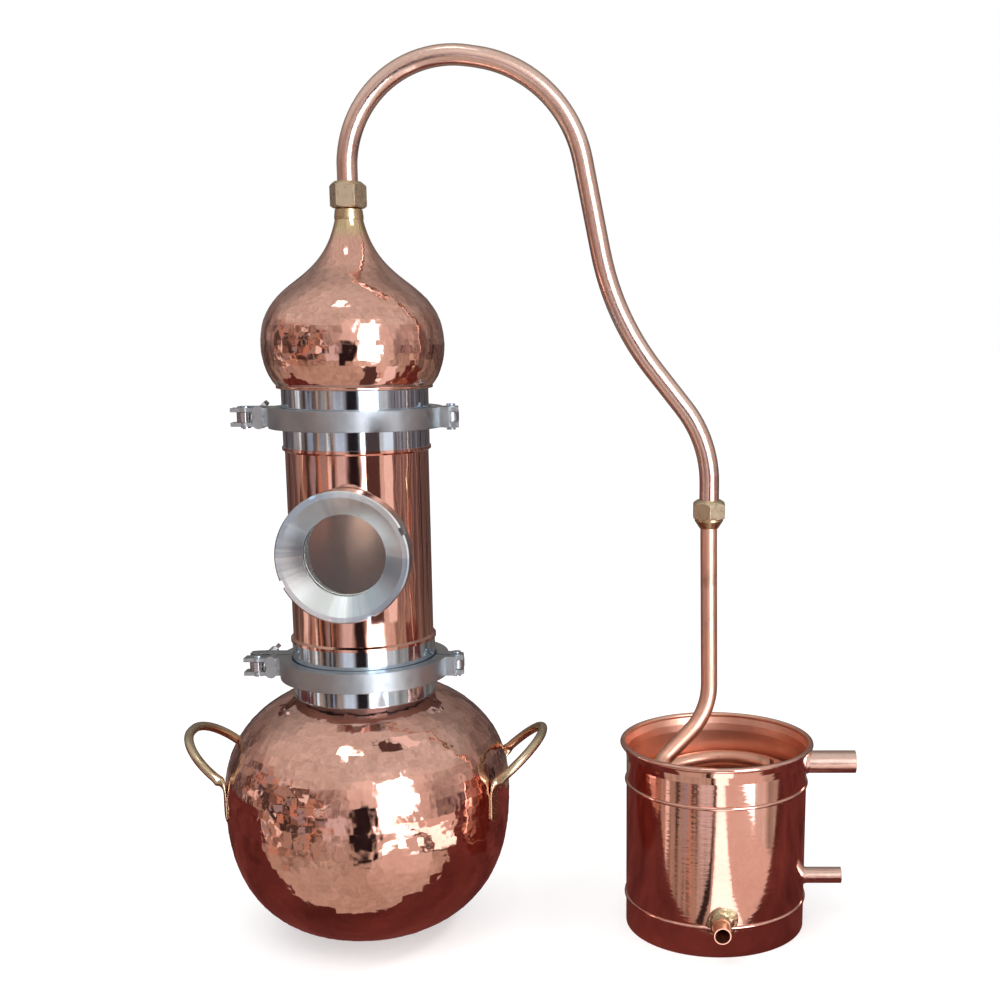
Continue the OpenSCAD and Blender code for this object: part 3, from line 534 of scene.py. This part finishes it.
finishes = {
    rolledCopper: ["column_tube"],
    bucketCopper: ["bucket_wall"],
    pipeCopper: ["swan_neck", "overflow_pipe", "water_inlet"],
    dullCopper: ["coil", "coil_support_strips", "bucket_floor"],
    turnedBrass: ["neck_nut", "condenser_nut", "swan_collars", "neck_slip_ring", "condenser_slip_ring"],
    headThread: ["head_nipple"],
    coilThread: ["coil_nipple"],
    mirrorSteel: ["pot_ferrule", "column_lower_ferrule", "column_upper_ferrule", "head_ferrule"],
    turnedSteel: ["sight_ring_nut"],
    portThread: ["sight_port"],
    castSteel: [f"{c}_clamp_{p}" for c in ("lower", "upper") for p in ("front_jaw", "rear_jaw", "wing_nut")],
    boltSteel: [f"{c}_clamp_{p}" for c in ("lower", "upper") for p in ("hinge_pin", "bolt_pin", "washer")],
    boltThread: ["lower_clamp_swing_bolt", "upper_clamp_swing_bolt"],
    sealRubber: ["lower_gasket", "upper_gasket", "sight_rear_seal", "sight_front_seal", "neck_seal", "condenser_seal"],
    sightGlassClear: ["sight_glass"],
    hammeredCopper: ["pot"],
    headCopper: ["head"],
    handleBrass: ["handle_left", "handle_right", "outlet_bush"],
}
for finish, nodeNames in finishes.items():
    for nodeName in nodeNames:
        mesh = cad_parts[nodeName].data
        mesh.materials.clear()
        mesh.materials.append(finish)

# the pot: a round bowl with a small flat foot, and a shoulder up to the ferrule
potShape = {
    "radius": 154.5, "middle": 157.0, "lowDepth": 160.0, "lowRound": 2.56, "upRound": 2.2, "neck": 78.0, "top": 266.9,
    "wall": 2.0, "bore": 74.2, "seat": 3.0, "insideRows": 40, "closedFoot": True, "lowRings": 10, "topRings": 3,
    "plainAround": 96, "markLow": 50.0, "markHigh": 0.985, "ridge": 0.11, "markSize": 9.0, "markDepth": 0.05,
    "tilt": 0.10, "flat": 0.62, "fadeTop": 12.0, "fadeLow": 40.0, "seed": 4,
}


def potProfile(v, inset, count=400):
    # below the widest line r = R (1 - (drop / depth) ^ n) ^ (1 / n), above it the same with the shoulder's own depth
    # and power; the inner wall, set in by the wall's thickness, ends in the seat of the ferrule
    rise = (v["top"] - v["middle"]) / (1 - (v["neck"] / v["radius"]) ** v["upRound"]) ** (1 / v["upRound"])
    t = (1 - np.cos(np.linspace(0, np.pi, count))) / 2
    top = v["top"] - (v["seat"] if inset else 0)
    z = inset + (top - inset) * t
    low = z < v["middle"]
    deep, power = np.where(low, v["lowDepth"], rise) - inset, np.where(low, v["lowRound"], v["upRound"])
    r = (v["radius"] - inset) * np.maximum(0, 1 - np.minimum(1, np.abs(z - v["middle"]) / deep) ** power) ** (1 / power)
    curve = np.concatenate([[[0, inset]], np.stack([r, z], -1)])
    return np.concatenate([curve, [[v["bore"], top], [v["bore"], v["top"]]]]) if inset else curve


potInside = potProfile(potShape, potShape["wall"])
pot = hammeredShell("hammeredPot", potProfile(potShape, 0), potInside, potShape, hammeredCopper)
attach(pot, "still")
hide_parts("pot")
print("still: pot hammered")

# the head: an onion on a rolled lip, drawn up to a thin neck
headShape = {
    "foot": (79.5, 595.1), "wide": (94.2, 639.0), "turn": (58.0, 703.5), "neck": (14.4, 766.0),  # radius and height
    "lip": ((80.9, 0.4), (81.4, 1.5), (80.9, 2.5), (80.6, 3.0)),  # radius, and height above the foot
    "belly": (86.0, 8.0), "wideDown": 20.0, "wideUp": 30.0, "turnDown": (82.0, 685.5), "turnUp": (38.0, 718.5),
    "neckDown": (22.0, 733.0),
    "wall": 1.5, "spigot": 74.2, "shelf": (78.0, 597.1), "insideFrom": 597.2, "bore": 8.5, "boreFrom": 764.0,
    "insideRows": 40, "closedFoot": False, "lowRings": 6, "topRings": 22, "plainAround": 96, "markLow": 9.0,
    "markHigh": 0.60, "ridge": 0.11, "markSize": 6.6, "markDepth": 0.04, "tilt": 0.07, "flat": 0.55, "fadeTop": 26.0,
    "fadeLow": 8.0, "seed": 11,
}


def bezier(a, b, c, d, count):
    # a cubic curve from a to d, drawn towards b and then c, without its last point
    t = np.linspace(0, 1, count, endpoint=False)[:, None]
    a, b, c, d = (np.array(p, float) for p in (a, b, c, d))
    return a * (1 - t) ** 3 + b * 3 * t * (1 - t) ** 2 + c * 3 * t ** 2 * (1 - t) + d * t ** 3


def headProfile(v, count=60):
    # from the foot out round the rolled lip, then three cubic curves: over the belly to the widest line, in to the turn
    # where the curve goes from round to hollow, and up to the neck
    foot, wide, turn, neck = v["foot"], v["wide"], v["turn"], v["neck"]
    lip = [(r, foot[1] + up) for r, up in v["lip"]]
    belly = (v["belly"][0], foot[1] + v["belly"][1])
    return np.concatenate([
        [foot, *lip[:3]],
        bezier(lip[3], belly, (wide[0], wide[1] - v["wideDown"]), wide, count),
        bezier(wide, (wide[0], wide[1] + v["wideUp"]), v["turnDown"], turn, count),
        bezier(turn, v["turnUp"], v["neckDown"], neck, count),
        [neck],
    ])


def headInside(v, outer):
    # the outer curve set in by the wall, with a shelf over the ferrule below and the nipple's bore above
    low, high = v["foot"][1], v["neck"][1]
    curve = outer - curveNormal(outer) * v["wall"]
    curve = curve[(curve[:, 1] < v["boreFrom"]) & (curve[:, 1] > v["insideFrom"])]
    below = [[v["spigot"], low], [v["spigot"], v["shelf"][1]], v["shelf"]]
    return np.concatenate([below, curve, [[v["bore"], v["boreFrom"]], [v["bore"], high]]])


headOuter = headProfile(headShape)
head = hammeredShell("hammeredHead", headOuter, headInside(headShape, headOuter), headShape, headCopper)
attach(head, "still")
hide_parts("head")
print("still: head hammered")

# the handles: round rod bent into a loop, both ends beaten flat and brazed down the side of the pot
handleShape = {
    "half": 58.0, "reach": 193.0, "top": 221.0, "corner": 54.0, "slope": (63.0, 56.0), "rod": 5.0, "footWide": 8.0,
    "footThick": 1.2, "footHeights": (137.0, 147.0, 157.0, 167.0), "footLift": 0.7, "leaves": (145.5, 178.0),
    "flatTo": 32.0, "roundOver": 22.0, "tip": 5.0, "points": 170,
}


def potRadiusAt(z):
    # the pot's outer radius at a height
    curve = potProfile(potShape, 0)
    return np.interp(z, curve[:, 1], curve[:, 0])


def handleLoop(name, sign, v):
    # the path runs up the pot's side, out along a slope, round a quarter circle at each corner and back;
    # sections go from flat feet to round rod
    angle = math.asin(v["half"] / potShape["radius"])
    feet = [((potRadiusAt(z) + v["footLift"]) * math.cos(angle), (potRadiusAt(z) + v["footLift"]) * math.sin(angle), z)
            for z in v["footHeights"]]
    slope = np.array([v["slope"][0], 0.0, v["slope"][1]]) / math.hypot(*v["slope"])
    corner = np.array([v["reach"], v["half"], v["top"]])
    centre = corner - slope * v["corner"] - np.array([0, v["corner"], 0])
    turns = np.linspace(0, math.pi / 2, 13)[:, None]
    arc = centre + v["corner"] * (slope * np.sin(turns) + np.array([0, 1.0, 0]) * np.cos(turns))
    half = feet + [(v["leaves"][0], v["half"] + 0.2, v["leaves"][1])] + arc.tolist()
    loop = np.array(half + [(x, -y, z) for x, y, z in half[::-1]])
    path, t = smoothPath(loop, v["points"])
    fromEnd = np.minimum(t, t[-1] - t)
    roundness = np.clip((fromEnd - v["flatTo"]) / v["roundOver"], 0, 1)
    roundness = roundness * roundness * (3 - 2 * roundness)
    tip = np.clip(fromEnd / v["tip"], 0, 1) ** 0.5
    wide = (v["footWide"] + (v["rod"] - v["footWide"]) * roundness) * (0.35 + 0.65 * tip)
    thick = (v["footThick"] + (v["rod"] - v["footThick"]) * roundness) * (0.3 + 0.7 * tip)
    lean = path * [1, 1, 0.0]
    lean = lean / np.linalg.norm(lean, axis=1)[:, None] + roundness[:, None] * np.array([-0.6, 0, 0.8])
    path, lean = path * [sign, 1, 1], lean * [sign, 1, 1]
    return sweptBar(name, path[::int(sign)], wide, thick, 2 + 1.6 * (1 - roundness), lean[::int(sign)], handleBrass)


for name, sign, node in (("handleLoopRight", 1.0, "handle_right"), ("handleLoopLeft", -1.0, "handle_left")):
    handle = handleLoop(name, sign, handleShape)
    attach(handle, "still")
    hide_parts(node)
print("still: handles bent")

# solder and brass worked round the outlet pipe, on the bucket's wall
solderShape = {
    "axisX": 385.0, "height": 36.4, "pipe": 9.65, "wall": 99.5, "reach": (15.0, 7.0), "seed": 3, "around": 72,
    "shares": (0, 0.06, 0.14, 0.25, 0.38, 0.52, 0.66, 0.8, 0.92, 1.0),  # of the way from the pipe to the edge
    "raised": (5.2, 4.2, 3.0, 2.1, 1.6, 1.25, 1.0, 0.75, 0.4, -0.25), "under": -0.7, "lumps": 0.35,
}


def solderPatch(name, v, mat):
    # a ring round the pipe whose outer edge wanders with the angle: at each angle a closed loop goes out along the wall
    # with a thickness that falls off to the edge, and back just under the wall's face
    rng = np.random.default_rng(v["seed"])
    a = np.arange(v["around"]) * 2 * np.pi / v["around"]
    wander = sum(rng.normal(0, 1.5 / k) * np.sin(k * a + rng.random() * 6) for k in range(2, 9))
    edge = v["reach"][0] + v["reach"][1] * np.clip(np.sin(a + 0.3), 0, 1) + wander
    out = np.array(v["shares"])
    loopOut = np.r_[out, out[::-1]]
    loopUp = np.r_[v["raised"], np.full(len(out), v["under"])]
    r = v["pipe"] - 0.05 + (edge - v["pipe"])[None, :] * loopOut[:, None]
    lumps = 1 + v["lumps"] * np.sin(5 * a + 1)[None, :] * np.sin(loopOut * 9)[:, None]
    x, z = r * np.cos(a), r * np.sin(a)
    y = -np.sqrt(v["wall"] ** 2 - x ** 2) - np.maximum(loopUp, 0)[:, None] * lumps - np.minimum(loopUp, 0)[:, None]
    points = np.stack([x + v["axisX"], y, z + v["height"]], -1)
    faces = gridFaces(len(loopOut), v["around"], wrapRows=True)
    return makeMesh(name, points.reshape(-1, 3) * mm, faces.tolist(), mat)


def solderMaterial(name):
    # brass, dark flux and bare copper in clouds
    mat, tree, surface = newMaterial(name)
    point = objectPoint(tree)
    burnt = spread(tree, noise(tree, point, 0.006, 4.0, 0.7), 0.0, 1.0)
    tint = mixColour(tree, burnt, (0.58, 0.50, 0.30), (0.25, 0.20, 0.12))
    bare = spread(tree, noise(tree, point, 0.012, 3.0), 0.0, 0.7, 0.45, 0.65)
    tint = mixColour(tree, bare, tint, (0.60, 0.33, 0.22))
    tree.links.new(tint, surface.inputs["Base Color"])
    surface.inputs["Metallic"].default_value = 1.0
    tree.links.new(spread(tree, noise(tree, point, 0.004, 3.0), 0.2, 0.45), surface.inputs["Roughness"])
    tree.links.new(bump(tree, noise(tree, point, 0.003, 3.0), 0.0006), surface.inputs["Normal"])
    return mat


solder = solderPatch("outletSolder", solderShape, solderMaterial("oldSolder"))
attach(solder, "still")
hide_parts("outlet_bush")
print("still: outlet soldered")

cameraView = {
    "place": (0.27718, -1.43548, 0.65868), "downward": 10.95, "lens": 48.69, "film": 36, "shift": (-0.1189, 0.0877),
}
camera = bpy.data.objects.new("camera", bpy.data.cameras.new("camera"))
bpy.context.collection.objects.link(camera)
camera.location = cameraView["place"]
camera.rotation_euler = (math.radians(90 - cameraView["downward"]), 0, 0)
camera.data.lens = cameraView["lens"]
camera.data.sensor_width = cameraView["film"]
camera.data.shift_x, camera.data.shift_y = cameraView["shift"]
bpy.context.scene.camera = camera
bpy.context.scene.view_settings.view_transform = "Standard"


def stageMesh(name, points, faces, mat, seen):
    # a piece of the studio; seen says whether the camera, mirrors, soft light and shadows know of it
    piece = makeMesh(name, np.array(points, float), faces, mat)
    piece.visible_camera, piece.visible_glossy, piece.visible_diffuse, piece.visible_shadow = seen
    piece.visible_transmission = seen[0]
    return piece


def plainMaterial(name, colour, lift):
    # matt paint, lifted by a little light of its own
    mat, tree, surface = newMaterial(name)
    surface.inputs["Base Color"].default_value = (*colour, 1)
    surface.inputs["Emission Color"].default_value = (1, 1, 1, 1)
    surface.inputs["Emission Strength"].default_value = lift
    surface.inputs["Roughness"].default_value = 0.9
    surface.inputs["Specular IOR Level"].default_value = 0.1
    mat.cycles.emission_sampling = "NONE"
    return mat


def glowMaterial(name, colour, stain=None):
    # shows its own tone whatever light falls on it, stained with a second one in broad clouds if that is given
    mat, tree, surface = newMaterial(name)
    surface.inputs["Base Color"].default_value = (0, 0, 0, 1)
    surface.inputs["Specular IOR Level"].default_value = 0
    surface.inputs["Emission Color"].default_value = (*colour, 1)
    surface.inputs["Emission Strength"].default_value = 1.0
    if stain:
        cloud = noise(tree, objectPoint(tree, scale=(1, 2, 1)), 0.25, 4.0, 0.6)
        tint = mixColour(tree, spread(tree, cloud, 0.0, 1.0, 0.35, 0.7), colour, stain)
        tree.links.new(tint, surface.inputs["Emission Color"])
    mat.cycles.emission_sampling = "NONE"
    return mat


# turns are in degrees from the front, to the right, and rises in degrees above the level; tones are linear
studio = {
    "floorRadius": 30.0, "floorPaint": (0.55, 0.55, 0.55), "floorLift": 0.52,
    "table": ((-1.1, -0.165), (1.6, 0.45)), "tableColour": ((0.085, 0.022, 0.020), (0.20, 0.055, 0.048)),
    "strips": [("gleamStrip", ((0.355, -1.0), (0.455, -0.168)), (2.1, 1.95, 1.9)),
               ("lineStrip", ((0.318, -1.0), (0.340, -0.168)), (0.03, 0.015, 0.015)),
               ("roseStrip", ((0.455, -1.0), (0.70, -0.168)), (0.80, 0.60, 0.53))],
    "uprights": [("columnShade", (20, 38), (0.10, 0.055, 0.05)), ("columnGleam", (43, 56), (1.0, 0.88, 0.86))],
    "uprightReach": 0.17, "uprightHeights": (0.335, 0.57),
    "paleLight": 1.0, "lowTone": (0.53, 0.42, 0.355), "wallTone": (0.53, 0.43, 0.40), "highTone": (0.66, 0.62, 0.585),
    "streakTone": (0.34, 0.22, 0.225),
    "clutter": [(0.0, (0.03, 0.018, 0.016)), (0.2, (0.22, 0.12, 0.09)), (0.42, (0.42, 0.30, 0.24)),
                (0.6, (0.38, 0.34, 0.38)), (0.74, (0.60, 0.30, 0.20)), (0.9, (1.1, 0.95, 0.9))],
    # what hangs in the room: turns, rises, tone, softness of its edges, how much it covers
    "patches": [
        ((12, 62), (-42, 38), (0.95, 0.80, 0.74), 9, 0.65),      # the window's glow
        ((-24, -7), (-22, -3), (0.85, 0.76, 0.80), 3, 0.8),      # a pale cloth
        ((17, 45), (-23, 34), (5.0, 5.0, 5.3), 1.5, 1.0),        # the window
        ((-8, 16), (0, 40), (1.2, 1.05, 0.98), 6, 0.5),          # the wall beside it
        ((-4, 14), (-28, 5), (0.02, 0.012, 0.014), 2.5, 1.0),    # a dark upright
        ((-36, -4), (63, 72), (3.6, 3.5, 3.4), 2, 1.0),          # a ceiling light
    ],
    "keyPower": 22.0, "keySize": (1.8, 1.4), "keyPlace": (-0.6, -0.9, 2.3), "keyTurn": (24, -16),
    # weak lamps: one in the column, so that the sight glass shows the tube's inner wall, and one over the bucket
    "lamps": [("columnLamp", 1.6, 0.02, (-0.01, 0.0, 0.50)), ("bucketLamp", 3.4, 0.05, (0.385, -0.02, 0.36))],
}

mirrorsOnly = (False, True, False, False)  # as seen by the camera, by mirrors, by soft light and by shadows


def boardAt(name, corners, mat):
    # a board on the floor, from one corner to the other
    (x0, y0), (x1, y1) = corners
    corners = [(x, y, -0.001) for x, y in ((x0, y0), (x1, y0), (x1, y1), (x0, y1))]
    return stageMesh(name, corners, [(0, 1, 2, 3)], mat, mirrorsOnly)


# a pale floor, and a dark table board that only mirrors see
turn = np.arange(64) * 2 * np.pi / 64
disc = np.stack([np.cos(turn) * studio["floorRadius"], np.sin(turn) * studio["floorRadius"], 0 * turn - 0.0002], -1)
floorMaterial = plainMaterial("floorPaint", studio["floorPaint"], studio["floorLift"])
stageMesh("floor", disc, [list(range(64))], floorMaterial, (True, False, True, False))
boardAt("tableBoard", studio["table"], glowMaterial("boardColour", *studio["tableColour"]))
# strips that give the bucket its upright gleam and dark line, and two uprights beside the column
for name, corners, tone in studio["strips"]:
    boardAt(name, corners, glowMaterial(name, tone))
foot, crown = studio["uprightHeights"]
for name, turns, tone in studio["uprights"]:
    reach = studio["uprightReach"]
    (xa, ya), (xb, yb) = ((reach * math.sin(math.radians(t)), -reach * math.cos(math.radians(t))) for t in turns)
    stageMesh(name, [(xa, ya, foot), (xb, yb, foot), (xb, yb, crown), (xa, ya, crown)], [(0, 1, 2, 3)],
              glowMaterial(name, tone), mirrorsOnly)


def studioWorld(v):
    # mirrors see soft warm walls with upright bands, clutter on the left, one tall window and a dark upright;
    # all else sees even pale light
    world = bpy.data.worlds.new("studio")
    bpy.context.scene.world = world
    world.use_nodes = True
    world.cycles.sampling_method = "NONE"
    tree = world.node_tree
    tree.nodes.clear()
    aim = shade(tree, "ShaderNodeSeparateXYZ", n0=shade(tree, "ShaderNodeTexCoord").outputs["Generated"])
    turnTo = reckon(tree, "ARCTAN2", aim.outputs[0], reckon(tree, "MULTIPLY", aim.outputs[1], -1.0))
    rise = reckon(tree, "ARCSINE", aim.outputs[2])

    def within(value, low, high, soft):
        # 1 between the two angles in degrees, and 0 outside
        up = shade(tree, "ShaderNodeMapRange", {"interpolation_type": "SMOOTHSTEP"}, Value=value)
        down = shade(tree, "ShaderNodeMapRange", {"interpolation_type": "SMOOTHSTEP"}, Value=value)
        for made, at, first in ((up, low, 0.0), (down, high, 1.0)):
            made.inputs[1].default_value = math.radians(at - soft)
            made.inputs[2].default_value = math.radians(at + soft)
            made.inputs[3].default_value = first
            made.inputs[4].default_value = 1 - first
        return reckon(tree, "MULTIPLY", up.outputs[0], down.outputs[0])

    def patch(colour, turns, rises, tone, soft, amount):
        area = reckon(tree, "MULTIPLY", within(turnTo, *turns, soft), within(rise, *rises, soft))
        return mixColour(tree, reckon(tree, "MULTIPLY", area, amount), colour, tone)

    def times(colour, value):
        grey = shade(tree, "ShaderNodeCombineXYZ", n0=value, n1=value, n2=value).outputs[0]
        return mixColour(tree, 1.0, colour, grey, "MULTIPLY")

    def cloudy(point, scale, detail, rough):
        made = shade(tree, "ShaderNodeTexNoise", Vector=point, Scale=scale, Detail=detail, Roughness=rough)
        return made.outputs["Fac"]

    # walls, with soft upright bands round the middle and finer streaks just below the level
    colour = mixColour(tree, within(rise, -6, 95, 6), v["lowTone"], v["wallTone"])
    colour = mixColour(tree, within(rise, 24, 95, 8), colour, v["highTone"])
    line = shade(tree, "ShaderNodeCombineXYZ", n0=turnTo, n1=0.0, n2=0.0).outputs[0]
    banded = times(colour, spread(tree, cloudy(line, 5.5, 3.0, 0.75), 0.10, 1.8, 0.38, 0.66))
    colour = mixColour(tree, reckon(tree, "MULTIPLY", within(rise, -30, 16, 9), 0.7), colour, banded)
    fine = spread(tree, cloudy(line, 13.0, 4.0, 0.8), 0.05, 1.5, 0.40, 0.62)
    streaks = times(mixColour(tree, 0.6, colour, v["streakTone"]), fine)
    colour = mixColour(tree, within(rise, -13, 0, 3), colour, streaks)
    # clutter: square cells, each with one of a few tones
    cell = shade(tree, "ShaderNodeCombineXYZ", n0=turnTo, n1=rise, n2=0.0).outputs[0]
    squares = shade(tree, "ShaderNodeTexVoronoi", {"distance": "CHEBYCHEV"}, Vector=cell, Scale=12.0).outputs["Color"]
    ramp = shade(tree, "ShaderNodeValToRGB", n0=shade(tree, "ShaderNodeSeparateColor", n0=squares).outputs[0])
    ramp.color_ramp.interpolation = "CONSTANT"
    while len(ramp.color_ramp.elements) < len(v["clutter"]):
        ramp.color_ramp.elements.new(0.5)
    for element, (at, tone) in zip(ramp.color_ramp.elements, v["clutter"]):
        element.position, element.color = at, (*tone, 1)
    colour = times(colour, spread(tree, cloudy(cell, 7.0, 3.0, 0.7), 0.80, 1.22, 0.35, 0.65))
    leftSide = reckon(tree, "MULTIPLY", within(turnTo, -105, -24, 6), within(rise, -26, 22, 5))
    colour = mixColour(tree, reckon(tree, "MULTIPLY", leftSide, 0.9), colour, ramp.outputs[0])
    # the back of the room is darker
    colour = times(colour, spread(tree, aim.outputs[1], 1.0, 0.40, 0.05, 0.6))
    for spot in v["patches"]:
        colour = patch(colour, *spot)
    glossy = shade(tree, "ShaderNodeBackground", Color=colour, Strength=1.0)
    pale = shade(tree, "ShaderNodeBackground", Color=(1, 1, 1, 1), Strength=v["paleLight"])
    ray = shade(tree, "ShaderNodeLightPath").outputs["Is Glossy Ray"]
    whole = shade(tree, "ShaderNodeMixShader", n0=ray, n1=pale.outputs[0], n2=glossy.outputs[0])
    shade(tree, "ShaderNodeOutputWorld", Surface=whole.outputs[0])


studioWorld(studio)


def addLight(name, kind, power, place):
    # no mirror shows the light itself
    light = bpy.data.objects.new(name, bpy.data.lights.new(name, kind))
    light.data.energy, light.location, light.visible_glossy = power, place, False
    bpy.context.collection.objects.link(light)
    return light


key = addLight("key", "AREA", studio["keyPower"], studio["keyPlace"])
key.data.shape = "RECTANGLE"
key.data.size, key.data.size_y = studio["keySize"]
key.rotation_euler = (*(math.radians(t) for t in studio["keyTurn"]), 0)
for name, power, size, place in studio["lamps"]:
    addLight(name, "POINT", power, place).data.shadow_soft_size = size
print("still: studio set")
